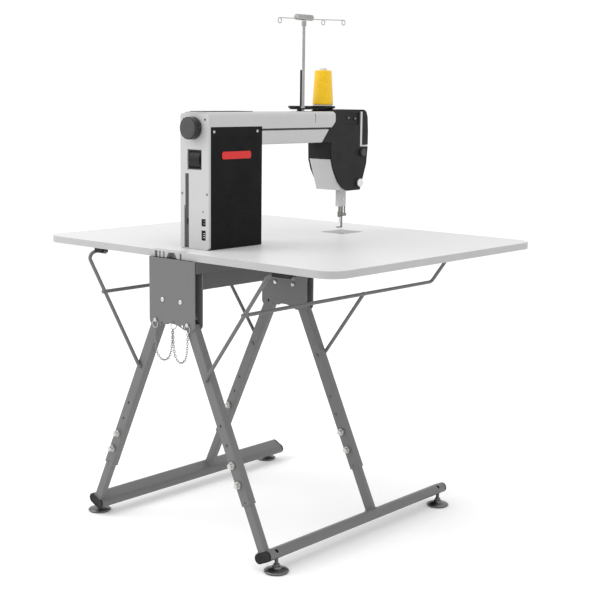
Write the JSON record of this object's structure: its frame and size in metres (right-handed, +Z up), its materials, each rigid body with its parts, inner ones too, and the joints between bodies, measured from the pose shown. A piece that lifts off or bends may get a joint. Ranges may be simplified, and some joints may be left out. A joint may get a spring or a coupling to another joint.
{
  "type": "sewing table",
  "caption": "Folding-leg sewing table with height-adjustable feet, wire braces and a fitted long-arm sewing machine with a thread stand.",
  "frame": {"origin": "on the floor under the middle of the object's box", "axes": "+Z up; +Y towards the column and handwheel end of the table; the operator sits at -Y and looks along +Y; -X is the operator's left"},
  "size_m": [1.08, 0.9254, 1.4205],
  "materials": {
    "white_laminate": "satin",
    "edge_band": "satin",
    "frame_paint": "satin grey powder coat",
    "beam_paint": "satin grey powder coat",
    "rod_paint": "satin",
    "zinc": "zinc plated",
    "black_plastic": "fine grain",
    "foot_metal": "dark plated",
    "machine_paint": "light grey satin paint",
    "head_white": "satin",
    "dark_cast": "matte",
    "panel_black": "ribbed",
    "head_black": "satin moulded",
    "wheel_grey": "satin",
    "polished_steel": "ground",
    "belt_rubber": "matte",
    "stand_black": "satin",
    "mast_grey": "satin",
    "yellow_thread": "wound polyester thread"
  },
  "bodies": {
    "stand": {"tabletop": "white_laminate", "edge_band": "edge_band", "cable_comb": "edge_band", "rear_bracket": "frame_paint", "middle_bracket": "frame_paint", "side_rails": "beam_paint", "machine_trough": "beam_paint", "pivot_bolts": "zinc", "pin_chains": "zinc", "panel_screws": "zinc", "brace_clips": "black_plastic", "rear_sockets": "black_plastic", "arm_upper_cover": "machine_paint", "arm_lower_cover": "machine_paint", "rear_panel": "machine_paint", "machine_bed": "machine_paint", "column_frame": "machine_paint", "head_frame": "head_white", "belly_cover": "head_white", "arm_frame": "dark_cast", "drive_motor": "dark_cast", "left_side_panel": "panel_black", "right_side_panel": "panel_black", "head_left_cover": "head_black", "head_right_cover": "head_black", "head_front_cover": "head_black", "needle_plate": "polished_steel", "drive_belt": "belt_rubber", "thread_stand_base": "stand_black"},
    "left_legs": {"left_upper_legs": "frame_paint", "left_height_bolts": "zinc"},
    "right_legs": {"right_upper_legs": "frame_paint", "right_height_bolts": "zinc"},
    "left_foot_frame": {"left_lower_legs": "frame_paint", "left_floor_bar": "frame_paint", "left_bar_caps": "black_plastic"},
    "right_foot_frame": {"right_lower_legs": "frame_paint", "right_floor_bar": "frame_paint", "right_bar_caps": "black_plastic"},
    "rear_left_foot": {"rear_left_foot": "foot_metal"},
    "front_left_foot": {"front_left_foot": "foot_metal"},
    "rear_right_foot": {"rear_right_foot": "foot_metal"},
    "front_right_foot": {"front_right_foot": "foot_metal"},
    "left_brace": {"left_brace": "rod_paint"},
    "right_brace": {"right_brace": "rod_paint"},
    "left_lock_pin": {"left_lock_pin": "zinc"},
    "right_lock_pin": {"right_lock_pin": "zinc"},
    "handwheel": {"handwheel": "wheel_grey", "upper_shaft": "polished_steel"},
    "hook": {"hook_shaft": "polished_steel", "rotary_hook": "polished_steel"},
    "needle_bar": {"needle_bar": "polished_steel"},
    "presser_foot": {"presser_foot": "polished_steel"},
    "take_up_lever": {"take_up_lever": "polished_steel"},
    "tension_dial": {"tension_dial": "wheel_grey"},
    "thumb_screw": {"thumb_screw": "polished_steel"},
    "power_switch": {"power_switch": "black_plastic"},
    "thread_mast": {"thread_mast": "mast_grey", "thread_guide": "mast_grey"},
    "spool_cone": {"spool_cone": "yellow_thread"}
  },
  "joints": [
    {"name": "left_leg_fold", "type": "hinge", "parent": "stand", "child": "left_legs", "pos_m": [-0.034, -0.00525, 0.661], "axis": [0, -1, 0], "range_deg": [0, 21.6]},
    {"name": "left_leg_height", "type": "slide", "parent": "left_legs", "child": "left_foot_frame", "axis": [-0.4258, 0, -0.9048], "range_m": [0, 0.1044]},
    {"name": "left_brace_hinge", "type": "hinge", "parent": "left_legs", "child": "left_brace", "pos_m": [-0.12576, -0.00525, 0.46601], "axis": [0, -1, 0], "range_deg": [0, 105]},
    {"name": "left_lock_pin_slide", "type": "slide", "parent": "stand", "child": "left_lock_pin", "axis": [0, 1, 0], "range_m": [0, 0.05]},
    {"name": "rear_left_foot_turn", "type": "hinge", "parent": "left_foot_frame", "child": "rear_left_foot", "pos_m": [-0.34608, 0.41575, 0.02], "axis": [0, 0, 1], "continuous": true},
    {"name": "front_left_foot_turn", "type": "hinge", "parent": "left_foot_frame", "child": "front_left_foot", "pos_m": [-0.34608, -0.29425, 0.02], "axis": [0, 0, 1], "continuous": true},
    {"name": "right_leg_fold", "type": "hinge", "parent": "stand", "child": "right_legs", "pos_m": [0.034, -0.00525, 0.661], "axis": [0, 1, 0], "range_deg": [0, 21.6]},
    {"name": "right_leg_height", "type": "slide", "parent": "right_legs", "child": "right_foot_frame", "axis": [0.4258, 0, -0.9048], "range_m": [0, 0.1044]},
    {"name": "right_brace_hinge", "type": "hinge", "parent": "right_legs", "child": "right_brace", "pos_m": [0.12576, -0.00525, 0.46601], "axis": [0, 1, 0], "range_deg": [0, 105]},
    {"name": "right_lock_pin_slide", "type": "slide", "parent": "stand", "child": "right_lock_pin", "axis": [0, 1, 0], "range_m": [0, 0.05]},
    {"name": "rear_right_foot_turn", "type": "hinge", "parent": "right_foot_frame", "child": "rear_right_foot", "pos_m": [0.34608, 0.41575, 0.02], "axis": [0, 0, 1], "continuous": true},
    {"name": "front_right_foot_turn", "type": "hinge", "parent": "right_foot_frame", "child": "front_right_foot", "pos_m": [0.34608, -0.29425, 0.02], "axis": [0, 0, 1], "continuous": true},
    {"name": "handwheel_turn", "type": "hinge", "parent": "stand", "child": "handwheel", "pos_m": [0, 0.37975, 1.108], "axis": [0, 1, 0], "continuous": true},
    {"name": "hook_turn", "type": "hinge", "parent": "stand", "child": "hook", "pos_m": [0, -0.23525, 0.752], "axis": [0, 1, 0], "continuous": true},
    {"name": "needle_bar_slide", "type": "slide", "parent": "stand", "child": "needle_bar", "axis": [0, 0, -1], "range_m": [0, 0.034]},
    {"name": "presser_foot_slide", "type": "slide", "parent": "stand", "child": "presser_foot", "axis": [0, 0, -1], "range_m": [0, 0.013]},
    {"name": "take_up_swing", "type": "hinge", "parent": "stand", "child": "take_up_lever", "pos_m": [0, -0.27225, 1.09], "axis": [1, 0, 0], "range_deg": [0, 50]},
    {"name": "tension_dial_turn", "type": "hinge", "parent": "stand", "child": "tension_dial", "pos_m": [-0.045, -0.28325, 1.029], "axis": [-1, 0, 0], "range_deg": [-150, 150]},
    {"name": "thumb_screw_turn", "type": "hinge", "parent": "stand", "child": "thumb_screw", "pos_m": [-0.045, -0.26725, 0.94], "axis": [-1, 0, 0], "continuous": true},
    {"name": "power_switch_rock", "type": "hinge", "parent": "stand", "child": "power_switch", "pos_m": [0, 0.36225, 1.026], "axis": [1, 0, 0], "range_deg": [-3, 3]},
    {"name": "thread_mast_turn", "type": "hinge", "parent": "stand", "child": "thread_mast", "pos_m": [-0.006, -0.05725, 1.2], "axis": [0, 0, 1], "range_deg": [-90, 90]},
    {"name": "spool_cone_lift", "type": "slide", "parent": "stand", "child": "spool_cone", "axis": [0, 0, 1], "range_m": [0, 0.1]}
  ],
  "couplings": [
    {"joint": "hook_turn", "follows": "handwheel_turn", "ratio": 2},
    {"joint": "presser_foot_slide", "follows": "needle_bar_slide", "ratio": 0.38}
  ]
}
